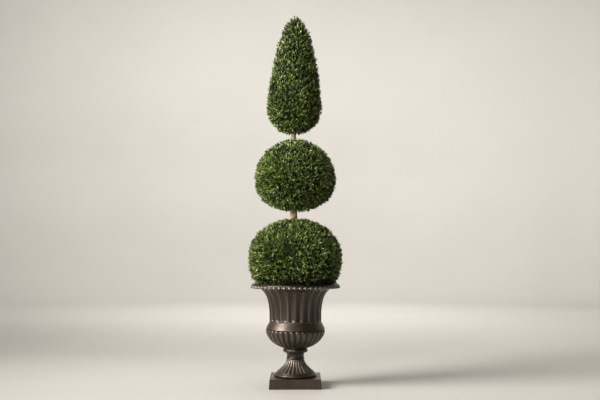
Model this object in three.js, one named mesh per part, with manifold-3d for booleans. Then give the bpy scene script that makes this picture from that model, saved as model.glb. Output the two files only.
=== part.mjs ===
// A boxwood clipped into a cone above two balls on one bare stem, planted in a fluted urn.
// Millimetres, +Z up, the origin at the middle of the plinth's underside, the front towards -Y.
import * as THREE from "three";
import { mergeVertices } from "three/addons/utils/BufferGeometryUtils.js";
import Module from "manifold-3d";

const wasm = await Module();
wasm.setup();

// ---------------------------------------------------------------- driving dimensions

const GAP = 0.3; // clearance between a piece and the one that carries it

// The urn, from the floor up.
const PLINTH = { width: 212, topWidth: 207, height: 40, bevel: 3 };
const FOOT = { baseRadius: 88, neckRadius: 35, height: 97, reeds: 24, reedDepth: 2.6 };
const COLLAR = { radius: 51, neckRadius: 38, height: 18 };
const BELLY = { footRadius: 49, radius: 121, height: 107, lipHeight: 76, gadroons: 30, gadroonDepth: 5 };
const WALL = { waistRadius: 107, mouthRadius: 150, height: 138, flutes: 22, fluteDepth: 4 };
const RIM = { radius: 182, crestRadius: 169, height: 21, eggs: 52, eggDepth: 2 };
const MOUTH_INSET = 16; // from the wall's widest reach in to the rim's mouth
const URN_THICKNESS = 9; // of the cast wall all round the filled bowl
const BOWL_SIDES = 28; // of the bowl's plain inside, and of the soil that fills it
const SOIL_DROP = 27; // from the rim's crest down to the soil

// Heights where one piece of the urn hands over to the next.
const FOOT_Z = PLINTH.height;
const COLLAR_Z = FOOT_Z + FOOT.height;
const BELLY_Z = COLLAR_Z + COLLAR.height;
const WALL_Z = BELLY_Z + BELLY.height;
const RIM_Z = WALL_Z + WALL.height;
const CREST_Z = RIM_Z + RIM.height;
const SOIL_Z = CREST_Z - SOIL_DROP;

// The stem stands on the soil, bows a little to the left and ends inside the cone.
const TRUNK = { baseRadius: 16.5, tipRadius: 4, height: 1040, bow: 9, flare: 0.75, flareHeight: 22 };

// The three clipped masses. radius is the widest reach of the leaves, at height z; up and down are
// how far the mass runs above and below that. shoulder and taper shape the upper half.
const ROUND = { shoulder: 2, taper: 0.5 };
const POINTED = { shoulder: 1.4, taper: 0.5 };
const MASSES = {
  bottom_ball_foliage: {
    z: 533, radius: 189, up: 154, down: 218, floor: CREST_Z + 3, ...ROUND, lean: [-1, -1],
    sprigs: 55, upsweep: 0.25, leader: false, seed: 11,
  },
  middle_ball_foliage: {
    z: 847, radius: 164, up: 168, down: 131, floor: 0, ...ROUND, lean: [-1, -1],
    sprigs: 46, upsweep: 0.25, leader: false, seed: 23,
  },
  cone_foliage: {
    z: 1150, radius: 109, up: 374, down: 111, floor: 0, ...POINTED, lean: [-7, 4],
    sprigs: 38, upsweep: 0.8, leader: true, seed: 37,
  },
};
const CORE_INSET = 21; // how far the leaf tips stand out of a mass's clipped core
const SPRIG = { length: 60, stemLength: 36, stemRadius: 3.5, pairAt: 26, spread: 1.2, jitter: 0.15 };
const LEAF = { length: 44, width: 28, thickness: 3 };
const GOLDEN_ANGLE = Math.PI * (3 - Math.sqrt(5));

const MATERIALS = {
  castIron: new THREE.MeshStandardMaterial({ color: 0x4a4038, roughness: 0.42, metalness: 0.75 }),
  soil: new THREE.MeshStandardMaterial({ color: 0x2e2219, roughness: 0.95, metalness: 0 }),
  bark: new THREE.MeshStandardMaterial({ color: 0xa98a63, roughness: 0.85, metalness: 0 }),
  leaves: new THREE.MeshStandardMaterial({ color: 0x3f5220, roughness: 0.5, metalness: 0 }),
};

// ---------------------------------------------------------------- solids and meshes

// A closed geometry as a manifold solid.
function solidOf(geometry) {
  const bare = geometry.clone();
  bare.deleteAttribute("normal");
  bare.deleteAttribute("uv");
  const merged = mergeVertices(bare, 1e-3);
  const solid = new wasm.Manifold(
    new wasm.Mesh({
      numProp: 3,
      vertProperties: merged.attributes.position.array,
      triVerts: new Uint32Array(merged.index.array),
    }),
  );
  return solid;
}

// A manifold solid back as a geometry. Loose scraps and sealed pockets are left behind.
function geometryOf(solid) {
  const whole = solid.decompose().reduce((a, b) => (a.volume() > b.volume() ? a : b));
  const mesh = whole.getMesh();
  const geometry = new THREE.BufferGeometry();
  geometry.setAttribute("position", new THREE.BufferAttribute(mesh.vertProperties, mesh.numProp));
  geometry.setIndex(new THREE.BufferAttribute(mesh.triVerts, 1));
  return geometry;
}

function named(name, geometry, material, z = 0) {
  geometry.computeVertexNormals();
  const mesh = new THREE.Mesh(geometry, material);
  mesh.name = name;
  mesh.position.z = z;
  return mesh;
}

// A solid turned about Z from an outline of Vector2(radius, height), run from the axis or the inside
// of a ring round to where it began. relief(height, turn, index) is added to each radius.
function turned(outline, segments, relief = () => 0) {
  const geometry = new THREE.LatheGeometry(outline, segments);
  const position = geometry.attributes.position;
  for (let i = 0; i < position.count; i++) {
    const index = i % outline.length;
    const { x: radius, y: height } = outline[index];
    const turn = Math.floor(i / outline.length) / segments;
    const grown = radius > 0 ? radius + relief(height, turn, index) : 0;
    const angle = turn * 2 * Math.PI;
    position.setXYZ(i, grown * Math.sin(angle), height, grown * Math.cos(angle));
  }
  const closed = new THREE.BufferGeometry();
  closed.setAttribute("position", position);
  closed.setIndex(geometry.index);
  closed.rotateX(Math.PI / 2);
  return mergeVertices(closed, 1e-3);
}

// How far through one of count ribs a turn lies, as a round wave: 0 in the joints, 1 at mid-rib.
const ribWave = (turn, count) => Math.abs(Math.sin(Math.PI * turn * count));

// Fades from 0 at low to 1 at high.
const fade = (value, low, high) => THREE.MathUtils.smoothstep(value, Math.min(low, high), Math.max(low, high));

// ---------------------------------------------------------------- the urn

// The plinth: a square slab with a little draft and a bevelled top edge.
function plinth() {
  const { width, topWidth, height, bevel } = PLINTH;
  const half = [width / 2, topWidth / 2, topWidth / 2 - bevel];
  const level = [0, height - bevel, height];
  const corner = ([sx, sy], i) => [sx * half[i], sy * half[i], level[i]];
  const corners = [[-1, -1], [1, -1], [1, 1], [-1, 1]];
  const position = level.flatMap((_, i) => corners.flatMap((c) => corner(c, i)));
  const index = [0, 2, 1, 0, 3, 2, 8, 9, 10, 8, 10, 11];
  for (const ring of [0, 4]) {
    for (let i = 0; i < 4; i++) {
      const [a, b] = [ring + i, ring + ((i + 1) % 4)];
      index.push(a, b, b + 4, a, b + 4, a + 4);
    }
  }
  const geometry = new THREE.BufferGeometry();
  geometry.setAttribute("position", new THREE.Float32BufferAttribute(position, 3));
  geometry.setIndex(index);
  return geometry;
}

// The foot: a torus on the plinth, then reeds that sweep up to a ringed neck.
function foot() {
  const { baseRadius: base, neckRadius: neck, height, reeds, reedDepth } = FOOT;
  const ringZ = height - 23;
  const sweep = new THREE.CubicBezierCurve(
    new THREE.Vector2(base - 4, 15),
    new THREE.Vector2(base - 28, 33),
    new THREE.Vector2(neck + 3, 48),
    new THREE.Vector2(neck, ringZ - 4),
  );
  const outline = [
    new THREE.Vector2(0, 0),
    new THREE.Vector2(base - 2, 0),
    new THREE.Vector2(base, 6),
    new THREE.Vector2(base - 2, 12),
    ...sweep.getPoints(5),
    new THREE.Vector2(neck + 2.5, ringZ),
    new THREE.Vector2(neck, ringZ + 4),
    new THREE.Vector2(neck, ringZ + 13),
    new THREE.Vector2(neck + 3, height),
    new THREE.Vector2(0, height),
  ];
  return turned(outline, reeds * 2, (z, turn) => {
    const reach = fade(z, 13, 22) * (1 - fade(z, ringZ - 12, ringZ - 4));
    return reach * reedDepth * (ribWave(turn, reeds) - 0.6);
  });
}

// The collar: the round ring between the neck and the bowl.
function collar() {
  const { radius, neckRadius: neck, height } = COLLAR;
  const outline = new THREE.Path();
  outline.moveTo(0, 0);
  outline.lineTo(neck, 0);
  outline.quadraticCurveTo(radius - 3, 0, radius - 1, height * 0.3);
  outline.quadraticCurveTo(radius + 2, height * 0.55, radius - 3, height * 0.85);
  outline.lineTo(radius - 4, height);
  outline.lineTo(0, height);
  return turned(outline.getPoints(2), 32);
}

// The hollow of the bowl, shrunk all round for what fills it, open above the rim of the wall.
// Its heights start from the belly's foot.
function bowlHollow(shrink = 0) {
  const { radius, height } = BELLY;
  const inset = URN_THICKNESS + shrink;
  const waist = WALL.waistRadius - inset;
  const mouth = WALL.mouthRadius - MOUTH_INSET - shrink;
  const top = height + WALL.height;
  const outline = new THREE.Path();
  outline.moveTo(0, inset + 4);
  outline.bezierCurveTo(70, inset + 6, radius - inset, height * 0.45, radius - inset - 7, height * 0.75);
  outline.lineTo(waist, height + 6);
  outline.quadraticCurveTo(waist, height + 100, mouth, top - 6);
  outline.lineTo(mouth, top + 1);
  outline.lineTo(0, top + 1);
  return solidOf(turned(outline.getPoints(4), BOWL_SIDES));
}

// The belly: a bowl wrapped in gadroons that end in round heads under a plain sloping shoulder.
function belly() {
  const { footRadius: foot, radius, height, lipHeight: lip, gadroons, gadroonDepth } = BELLY;
  const bulge = new THREE.CubicBezierCurve(
    new THREE.Vector2(foot, 0),
    new THREE.Vector2(foot + 50, height * 0.19),
    new THREE.Vector2(radius - 2, height * 0.42),
    new THREE.Vector2(radius, lip),
  );
  const outline = [
    new THREE.Vector2(0, 0),
    ...bulge.getPoints(5),
    new THREE.Vector2(radius - 1, lip + 7),
    new THREE.Vector2(radius - 6, lip + 15),
    new THREE.Vector2(WALL.waistRadius + 1, height - 3),
    new THREE.Vector2(WALL.waistRadius, height),
    new THREE.Vector2(0, height),
  ];
  const body = turned(outline, gadroons * 2, (z, turn) => {
    const reach = (0.4 + 0.6 * fade(z, 0, lip * 0.5)) * (1 - fade(z, lip, lip + 7));
    return reach * gadroonDepth * (ribWave(turn, gadroons) - 0.7);
  });
  return geometryOf(solidOf(body).subtract(bowlHollow()));
}

// The wall: a bell-shaped ring with round-ended hollow flutes.
function wall() {
  const { waistRadius: waist, mouthRadius: mouth, height, flutes, fluteDepth } = WALL;
  const outline = new THREE.Path();
  outline.moveTo(waist, 0);
  outline.lineTo(waist, 6);
  outline.lineTo(waist, 18);
  outline.bezierCurveTo(waist, height * 0.55, waist + 9, height * 0.88, mouth, height);
  const body = turned(
    [new THREE.Vector2(0, 0), ...outline.getPoints(5), new THREE.Vector2(0, height)],
    flutes * 3,
    (z, turn) => {
      const reach = fade(z, 3, 16) * (1 - fade(z, height * 0.84, height * 0.97));
      return -reach * fluteDepth * ribWave(turn, flutes);
    },
  );
  return geometryOf(solidOf(body).subtract(bowlHollow().translate(0, 0, -BELLY.height)));
}

// The rim: a rolled lip whose edge is cut into a row of eggs.
function rim() {
  const { radius, crestRadius: crest, height, eggs, eggDepth } = RIM;
  const inner = WALL.mouthRadius - MOUTH_INSET;
  const outline = [
    new THREE.Vector2(inner, 0),
    new THREE.Vector2(WALL.mouthRadius, 0),
    new THREE.Vector2(radius - 6, 4),
    new THREE.Vector2(radius, 9),
    new THREE.Vector2(radius - 4, 16),
    new THREE.Vector2(crest, height),
    new THREE.Vector2(inner + 10, height - 4),
    new THREE.Vector2(inner, 0),
  ];
  return turned(outline, eggs * 2, (z, turn, index) => {
    const onEdge = index > 1 && index < 5;
    return onEdge ? eggDepth * (ribWave(turn, eggs) - 0.5) : 0;
  });
}

// The soil: fills the bowl up to a level surface a little under the rim.
function soil() {
  const above = new THREE.BoxGeometry(2 * RIM.radius, 2 * RIM.radius, RIM.radius);
  above.translate(0, 0, SOIL_Z - BELLY_Z + RIM.radius / 2);
  return geometryOf(bowlHollow(2 * GAP).subtract(solidOf(above)));
}

// ---------------------------------------------------------------- the stem

// The stem's centre at a share of its height, and its radius there.
const trunkX = (share) => -TRUNK.bow * Math.sin(Math.PI * Math.min(1, Math.max(0, share)));
const trunkRadius = (share) => THREE.MathUtils.lerp(TRUNK.baseRadius, TRUNK.tipRadius, share ** 1.6);

// One tapering limb from a flat cut on the soil to its tip, grown outwards by clearance all round.
function trunk(clearance = 0) {
  const { height, flare, flareHeight } = TRUNK;
  const lobeCount = 5;
  const geometry = new THREE.CylinderGeometry(1, 1, 1, 2 * lobeCount, 11);
  geometry.deleteAttribute("normal");
  geometry.deleteAttribute("uv");
  geometry.rotateX(Math.PI / 2);
  const position = geometry.attributes.position;
  const point = new THREE.Vector3();
  for (let i = 0; i < position.count; i++) {
    point.fromBufferAttribute(position, i);
    const share = (point.z + 0.5) ** 1.6;
    const rise = share * height;
    const lobes = 1 + 0.3 * Math.cos(lobeCount * Math.atan2(point.y, point.x));
    const spread = 1 + flare * lobes * Math.exp(-rise / flareHeight);
    const radius = trunkRadius(share) * spread + clearance;
    const longer = clearance * Math.sign(point.z);
    position.setXYZ(i, trunkX(share) + point.x * radius, point.y * radius, rise + longer);
  }
  geometry.translate(0, 0, SOIL_Z);
  return mergeVertices(geometry, 1e-3);
}

// ---------------------------------------------------------------- the clipped masses

// The reach of a mass's leaves at a height, measured from its own leaning axis.
function reachAt(mass, z) {
  const above = z >= mass.z;
  const share = Math.min(1, Math.abs(z - mass.z) / (above ? mass.up : mass.down));
  const { shoulder, taper } = above ? mass : ROUND;
  return mass.radius * (1 - share ** shoulder) ** taper;
}

const lowest = (mass) => Math.max(mass.floor, mass.z - mass.down);
const highest = (mass) => mass.z + mass.up;
const axisX = (mass, z) =>
  THREE.MathUtils.lerp(...mass.lean, (z - lowest(mass)) / (highest(mass) - lowest(mass)));

// Whether a leaf's corner stays inside the mass's clipped outline and off the stem.
function hasRoom(mass, point) {
  if (point.z < lowest(mass) || point.z > highest(mass)) return false;
  if (Math.hypot(point.x - axisX(mass, point.z), point.y) > reachAt(mass, point.z)) return false;
  const share = (point.z - SOIL_Z) / TRUNK.height;
  if (share > 1) return true;
  return Math.hypot(point.x - trunkX(share), point.y) > trunkRadius(share) + 3;
}

// Points spread evenly over the mass's clipped surface, each with its outward direction.
function sitesOn(mass) {
  const steps = 240;
  const dz = (highest(mass) - lowest(mass)) / steps;
  const bands = [];
  let area = 0;
  for (let i = 0; i < steps; i++) {
    const z = lowest(mass) + (i + 0.5) * dz;
    const slope = (reachAt(mass, z + dz / 2) - reachAt(mass, z - dz / 2)) / dz;
    const radius = reachAt(mass, z);
    area += radius * Math.hypot(1, slope);
    bands.push({ z, radius, slope, area });
  }
  const sites = Array.from({ length: mass.sprigs }, (_, i) => {
    const band = bands.find((b) => b.area >= (area * (i + 0.5)) / mass.sprigs);
    const angle = i * GOLDEN_ANGLE;
    const outward = new THREE.Vector3(Math.cos(angle), Math.sin(angle), -band.slope).normalize();
    const tip = new THREE.Vector3(
      axisX(mass, band.z) + band.radius * Math.cos(angle),
      band.radius * Math.sin(angle),
      band.z,
    );
    return { tip, outward };
  });
  if (mass.leader) {
    const top = highest(mass) - 1;
    sites.push({ tip: new THREE.Vector3(axisX(mass, top), 0, top), outward: new THREE.Vector3(0, 0, 1) });
  }
  return sites;
}

// The same random numbers every run.
function randomFrom(seed) {
  let state = seed;
  return () => {
    state = (state + 0x6d2b79f5) | 0;
    let t = Math.imul(state ^ (state >>> 15), 1 | state);
    t = (t + Math.imul(t ^ (t >>> 7), 61 | t)) ^ t;
    return ((t ^ (t >>> 14)) >>> 0) / 4294967296;
  };
}

const X_AXIS = new THREE.Vector3(1, 0, 0);

// A geometry built along +X from the origin, laid from a start along a direction.
function laid(geometry, start, direction, roll) {
  const turn = new THREE.Quaternion().setFromUnitVectors(X_AXIS, direction);
  const spin = new THREE.Quaternion().setFromAxisAngle(X_AXIS, roll);
  return geometry.applyQuaternion(turn.multiply(spin)).translate(...start);
}

// A leaf of eight faces: a flat spindle, widest in the middle, with its base at the start.
function leaf(start, direction, roll, size) {
  const blade = new THREE.OctahedronGeometry(0.5);
  blade.translate(0.5, 0, 0);
  blade.scale(LEAF.length * size, LEAF.width * size, LEAF.thickness);
  return laid(blade, start, direction, roll);
}

// A three-sided twig that narrows from its root to a point.
function twig(start, direction, roll) {
  const stem = new THREE.ConeGeometry(SPRIG.stemRadius, SPRIG.stemLength, 3);
  stem.translate(0, SPRIG.stemLength / 2, 0);
  stem.rotateZ(-Math.PI / 2);
  return laid(stem, start, direction, roll);
}

// One sprig: a twig with a leaf at its end and an opposite pair of leaves crosswise below it.
function sprig(mass, site, random) {
  const wobble = () => (random() - 0.5) * 2 * SPRIG.jitter;
  const direction = site.outward
    .clone()
    .add(new THREE.Vector3(wobble(), wobble(), wobble() + mass.upsweep))
    .normalize();
  const root = site.tip.clone().addScaledVector(direction, -SPRIG.length);
  const roll = random() * Math.PI;
  const across = new THREE.Vector3(0, -Math.sin(roll), Math.cos(roll)).applyQuaternion(
    new THREE.Quaternion().setFromUnitVectors(X_AXIS, direction),
  );
  const size = 0.85 + 0.15 * random();
  const endStart = root.clone().addScaledVector(direction, SPRIG.length - LEAF.length * size);
  const pairStart = root.clone().addScaledVector(direction, SPRIG.pairAt);
  const pieces = [twig(root, direction, roll), leaf(endStart, direction, roll, size * 0.99)];
  for (const side of [-1, 1]) {
    const aside = direction.clone().addScaledVector(across, side * SPRIG.spread).normalize();
    pieces.push(leaf(pairStart, aside, roll, size * 0.85));
  }
  return pieces.filter((piece) => {
    const position = piece.attributes.position;
    const corners = Array.from({ length: position.count }, (_, i) =>
      new THREE.Vector3().fromBufferAttribute(position, i),
    );
    const middle = corners.reduce((sum, corner) => sum.add(corner), new THREE.Vector3());
    return [...corners, middle.divideScalar(position.count)].every((point) => hasRoom(mass, point));
  });
}

// The smaller clipped core that the sprigs are rooted in.
function core(mass) {
  const rings = 9;
  const bottom = Math.max(lowest(mass) + 1, mass.z - mass.down + CORE_INSET);
  const top = highest(mass) - CORE_INSET * (mass.leader ? 1.6 : 1);
  const outline = [];
  for (let i = 0; i <= rings; i++) {
    const z = THREE.MathUtils.lerp(bottom, top, (1 - Math.cos((Math.PI * i) / rings)) / 2);
    const above = z >= mass.z;
    const end = above ? top : mass.z - mass.down + CORE_INSET;
    const share = Math.min(1, (z - mass.z) / (end - mass.z));
    const { shoulder, taper } = above ? mass : ROUND;
    outline.push(new THREE.Vector2((mass.radius - CORE_INSET) * (1 - share ** shoulder) ** taper, z));
  }
  if (outline[0].x > 0) outline.unshift(new THREE.Vector2(0, bottom));
  outline[outline.length - 1].x = 0;
  const shape = turned(outline, 24);
  const position = shape.attributes.position;
  for (let i = 0; i < position.count; i++) position.setX(i, position.getX(i) + axisX(mass, position.getZ(i)));
  return solidOf(shape);
}

// A whole mass: its core and sprigs as one solid, with a channel that clears the stem.
function foliage(mass) {
  const random = randomFrom(mass.seed);
  const sprigs = sitesOn(mass).flatMap((site) => sprig(mass, site, random));
  const bush = wasm.Manifold.union([core(mass), ...sprigs.map(solidOf)]);
  return geometryOf(bush.subtract(solidOf(trunk(GAP))));
}

// ---------------------------------------------------------------- the plant in its urn

const topiary = new THREE.Group();
topiary.add(
  named("urn_plinth", plinth(), MATERIALS.castIron),
  named("urn_foot", foot(), MATERIALS.castIron, FOOT_Z),
  named("urn_collar", collar(), MATERIALS.castIron, COLLAR_Z),
  named("urn_belly", belly(), MATERIALS.castIron, BELLY_Z),
  named("urn_wall", wall(), MATERIALS.castIron, WALL_Z),
  named("urn_rim", rim(), MATERIALS.castIron, RIM_Z),
  named("soil", soil(), MATERIALS.soil, BELLY_Z),
  named("trunk", trunk(), MATERIALS.bark),
);
for (const [name, mass] of Object.entries(MASSES)) {
  topiary.add(named(name, foliage(mass), MATERIALS.leaves));
}

export default topiary;
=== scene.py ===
# %% [markdown]
# # A clipped boxwood in a fluted urn
#
# The object is a small tree that a gardener has clipped for years: a teardrop cone above two balls, on
# one bare stem, in a cast urn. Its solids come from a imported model, the frame, and this lesson gives them
# their looks. The soil only gets a finish. The others are replaced by finer meshes in the same place, so
# sizes are read from the frame wherever it has them.

# %% Load the frame
import math

import bmesh
import bpy
import numpy as np
from mathutils import Matrix, Vector, noise


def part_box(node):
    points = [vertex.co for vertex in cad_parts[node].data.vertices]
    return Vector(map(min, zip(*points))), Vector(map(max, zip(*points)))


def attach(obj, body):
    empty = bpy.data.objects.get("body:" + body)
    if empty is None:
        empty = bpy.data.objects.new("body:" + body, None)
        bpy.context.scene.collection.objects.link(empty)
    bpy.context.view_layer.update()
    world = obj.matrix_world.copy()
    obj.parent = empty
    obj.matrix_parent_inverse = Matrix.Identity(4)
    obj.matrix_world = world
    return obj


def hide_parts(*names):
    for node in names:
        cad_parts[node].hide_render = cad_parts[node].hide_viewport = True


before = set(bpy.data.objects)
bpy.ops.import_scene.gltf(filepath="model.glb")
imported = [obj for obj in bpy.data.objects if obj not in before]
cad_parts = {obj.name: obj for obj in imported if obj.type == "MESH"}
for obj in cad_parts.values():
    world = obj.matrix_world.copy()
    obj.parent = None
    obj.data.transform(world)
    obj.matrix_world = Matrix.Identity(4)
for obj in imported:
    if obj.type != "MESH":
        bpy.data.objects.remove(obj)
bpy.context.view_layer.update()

MM = 0.001  # the sizes below are in millimetres, and every mesh is in metres
print("solids from the frame:", sorted(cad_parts))

# %% [markdown]
# ## Small helpers
#
# Every mesh here starts as numpy arrays of points and faces, which is quick and keeps each shape a
# formula. Node trees are built in code too: a helper makes a tree with named sockets, one puts in a node
# and links it, one ends a tree with real meshes and a material, and one runs it once on a mesh.

# %% Meshes from arrays


def mesh_of(name, points, faces, edges=()):
    """A smooth mesh from points in millimetres and faces or edges as tuples of their numbers."""
    mesh = bpy.data.meshes.new(name)
    mesh.from_pydata((np.asarray(points, float) * MM).tolist(), edges, faces, shade_flat=False)
    mesh.update()
    return mesh


def unit(rows):
    """Each row as a direction of length 1."""
    return rows / np.linalg.norm(rows, axis=1)[:, None]


def give(mesh, label, values, kind="FLOAT"):
    """Stores one value for each vertex under a name that node trees can read."""
    field = "vector" if kind == "FLOAT_VECTOR" else "value"
    number = np.int32 if kind == "INT" else np.float32
    layer = mesh.attributes.new(label, kind, "POINT")
    layer.data.foreach_set(field, np.asarray(values, number).ravel())


def shown(name, mesh):
    """An object at the origin that shows a mesh."""
    thing = bpy.data.objects.new(name, mesh)
    bpy.context.scene.collection.objects.link(thing)
    return thing


# %% Node trees


def new_tree(name, kind, inputs, outputs):
    """An empty node tree with named sockets: the tree, what comes in and what goes out."""
    tree = bpy.data.node_groups.new(name, f"{kind}NodeTree")
    for way, sockets in (("INPUT", inputs), ("OUTPUT", outputs)):
        for label, socket in sockets.items():
            tree.interface.new_socket(name=label, in_out=way, socket_type=f"NodeSocket{socket}")
    return tree, tree.nodes.new("NodeGroupInput").outputs, tree.nodes.new("NodeGroupOutput").inputs


def put(tree, kind, sockets=None, **options):
    """One node. Each of its sockets gets a value, or a link from another node's output."""
    node = tree.nodes.new(kind)
    for option, value in options.items():
        setattr(node, option, value)
    for key, value in (sockets or {}).items():
        if isinstance(value, bpy.types.NodeSocket):
            tree.links.new(value, node.inputs[key])
        else:
            node.inputs[key].default_value = value
    return node


def live(sockets):
    """The output that is in use with a node's present options."""
    return next(socket for socket in sockets if socket.enabled)


def about_z(tree, angle):
    """A rotation by an angle round Z."""
    euler = put(tree, "ShaderNodeCombineXYZ", {"Z": angle})
    return put(tree, "FunctionNodeEulerToRotation", {0: euler.outputs[0]}).outputs[0]


def hand_out(tree, last, enter, leave):
    """Ends a tree: instances become real, the material goes on and the result goes out."""
    solid = put(tree, "GeometryNodeRealizeInstances", {0: last.outputs[0]})
    parts = {"Geometry": solid.outputs[0], "Material": enter["Material"]}
    tree.links.new(put(tree, "GeometryNodeSetMaterial", parts).outputs[0], leave[0])
    return tree


def grown(name, mesh, tree, **values):
    """Runs a Geometry Nodes tree on a mesh once, and shows the plain mesh that comes out."""
    thing = shown(name, mesh)
    rule = thing.modifiers.new("rule", "NODES")
    rule.node_group = tree
    for item in tree.interface.items_tree:
        if item.in_out == "INPUT" and item.name in values:
            rule[item.identifier] = values[item.name]
    view = bpy.context.evaluated_depsgraph_get()
    made = bpy.data.meshes.new_from_object(thing.evaluated_get(view), depsgraph=view)
    thing.modifiers.clear()
    thing.data = made
    made.name = name
    return thing


def settle(thing, slot, *nodes):
    """Hides the solids a finished piece stands for and puts it in the root body; its slot is not used."""
    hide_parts(*nodes)
    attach(thing, "root")
    triangles = sum(len(face.vertices) - 2 for face in thing.data.polygons)
    print(f"{thing.name}: {triangles} triangles")


# %% [markdown]
# ## Finishes
#
# Two effects serve several finishes, so each is a node group: **mottle**, soft patches between two tones,
# and **grain**, a fine tooth for bump and roughness. They read Object coordinates, which stay put on a
# piece that sits at the origin. The urn's metal also reads a vertex attribute of crest and shade, which
# each modelling step stores: 0 in a joint and 1 on a rubbed back. That one number drives dirt and polish,
# and low values set on the collar, the foot's neck and the rim's top paint shade there.

# %% Mottle: patches between two tones


def blend(tree, share, one, other):
    """The colour between two others."""
    mixed = put(tree, "ShaderNodeMix", {0: share, 6: one, 7: other}, data_type="RGBA")
    return live(mixed.outputs)


def mottle_group():
    inputs = {"Tone A": "Color", "Tone B": "Color", "Patch Scale": "Float", "Stretch": "Vector"}
    tree, enter, leave = new_tree("mottle", "Shader", inputs, {"Color": "Color"})
    place = put(tree, "ShaderNodeTexCoord").outputs["Object"]
    stretched = put(tree, "ShaderNodeVectorMath", {0: place, 1: enter["Stretch"]}, operation="MULTIPLY")
    pattern = {"Vector": stretched.outputs[0], "Scale": enter["Patch Scale"], "Detail": 4.0}
    patches = put(tree, "ShaderNodeTexNoise", pattern).outputs["Fac"]
    spread = put(tree, "ShaderNodeMapRange", {"Value": patches, "From Min": 0.36, "From Max": 0.64})
    colour = blend(tree, spread.outputs[0], enter["Tone A"], enter["Tone B"])
    tree.links.new(colour, leave["Color"])
    return tree


MOTTLE = mottle_group()

# %% Grain: a fine tooth over broader swells


def grain_group():
    inputs = dict.fromkeys(("Grain Scale", "Swell Scale", "Smoothest", "Roughest"), "Float")
    tree, enter, leave = new_tree("grain", "Shader", inputs, {"Height": "Float", "Roughness": "Float"})
    place = put(tree, "ShaderNodeTexCoord").outputs["Object"]
    tooth, swell = (
        put(tree, "ShaderNodeTexNoise", {"Vector": place, "Scale": enter[scale], "Detail": detail})
        for scale, detail in (("Grain Scale", 3.0), ("Swell Scale", 2.0))
    )
    tooth, swell = tooth.outputs["Fac"], swell.outputs["Fac"]
    height = put(tree, "ShaderNodeMath", {0: swell, 1: 3.0, 2: tooth}, operation="MULTIPLY_ADD")
    span = {"From Min": 0.35, "From Max": 0.65, "To Min": enter["Smoothest"], "To Max": enter["Roughest"]}
    rough = put(tree, "ShaderNodeMapRange", {"Value": tooth, **span})
    tree.links.new(height.outputs[0], leave["Height"])
    tree.links.new(rough.outputs[0], leave["Roughness"])
    return tree


GRAIN = grain_group()

# %% What all finishes have in common


def finish(name, tones, patch, grain, swell, rough, bump, stretch=(1.0, 1.0, 1.0)):
    """A material with mottled colour and a fine tooth, and its tree, shader and colour."""
    material = bpy.data.materials.new(name)
    material.use_nodes = True
    tree = material.node_tree
    shader = tree.nodes["Principled BSDF"]
    looks = {"Tone A": (*tones[0], 1), "Tone B": (*tones[1], 1), "Patch Scale": patch, "Stretch": stretch}
    colours = put(tree, "ShaderNodeGroup", node_tree=MOTTLE, sockets=looks)
    feel = {"Grain Scale": grain, "Swell Scale": swell, "Smoothest": rough[0], "Roughest": rough[1]}
    tooth = put(tree, "ShaderNodeGroup", node_tree=GRAIN, sockets=feel)
    relief = put(tree, "ShaderNodeBump", {"Height": tooth.outputs["Height"], "Distance": bump * MM})
    tree.links.new(colours.outputs["Color"], shader.inputs["Base Color"])
    tree.links.new(tooth.outputs["Roughness"], shader.inputs["Roughness"])
    tree.links.new(relief.outputs[0], shader.inputs["Normal"])
    return material, tree, shader, colours.outputs["Color"]


def tinted_by(tree, shader, colour, label, span, other):
    """Blends a finish's colour into another as a stored attribute nears the start of a span."""
    value = put(tree, "ShaderNodeAttribute", attribute_name=label).outputs["Fac"]
    share = put(tree, "ShaderNodeMapRange", {"Value": value, "From Min": span[0], "From Max": span[1]})
    tinted = blend(tree, share.outputs[0], (*other, 1), colour)
    tree.links.new(tinted, shader.inputs["Base Color"])
    return tinted


# %% [markdown]
# ## The urn's metal
#
# The urn is cast, then given a dark bronze-brown coat that lets the metal shine through a little. Pure
# metal would mirror the room, and plain paint would look like plastic, so the shader is part metallic
# with a broad, soft gloss under a thin lacquer. Dirt darkens the joints between the ribs, and the highest
# backs are rubbed to a lighter metal. The same dark tone is painted shade on the collar and the foot's
# neck under the belly, and painted shadow of the foliage on the rim's edge and top.

# %% Cast metal

DIRT_AND_SHADE_TONE, WORN_TONE = (0.014, 0.010, 0.007), (0.140, 0.115, 0.089)
# low values are dirt in the joints, and painted shade where they are set on the collar, the foot's neck and
# the rim's top
DIRTY_OR_SHADED, DULL_OR_SHADED, PLAIN, CLEAN, RUBBED = 0.0, 0.3, 0.6, 0.7, 0.95  # values of crest
METAL, tree, shader, colour = finish(
    "bronze_brown_casting",
    tones=((0.040, 0.027, 0.018), (0.066, 0.046, 0.031)),
    patch=22.0,
    grain=900.0,
    swell=55.0,
    rough=(0.44, 0.56),
    bump=0.25,
    stretch=(1.0, 1.0, 0.6),
)
shader.inputs["Metallic"].default_value = 0.88
shader.inputs["Coat Weight"].default_value = 0.55
shader.inputs["Coat Roughness"].default_value = 0.32
# the dark tone is dirt in the joints, and painted shade on the collar, the foot's neck and the rim's top
with_dirt_and_shade = tinted_by(tree, shader, colour, "crest_and_shade", (DIRTY_OR_SHADED, PLAIN), DIRT_AND_SHADE_TONE)
tinted_by(tree, shader, with_dirt_and_shade, "crest_and_shade", (RUBBED, CLEAN), WORN_TONE)

# %% [markdown]
# ## Turning the urn
#
# A founder's pattern for an urn is turned on a lathe and then carved. The mesh is made the same way: an
# outline of radius and height is spun round the axis, and a relief pushes the skin in or out along the
# outline's normal. A Screw modifier would give the body but not the carving, so the rings are one grid, in
# which each point knows its turn and its distance along the outline.

# %% Outlines


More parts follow.
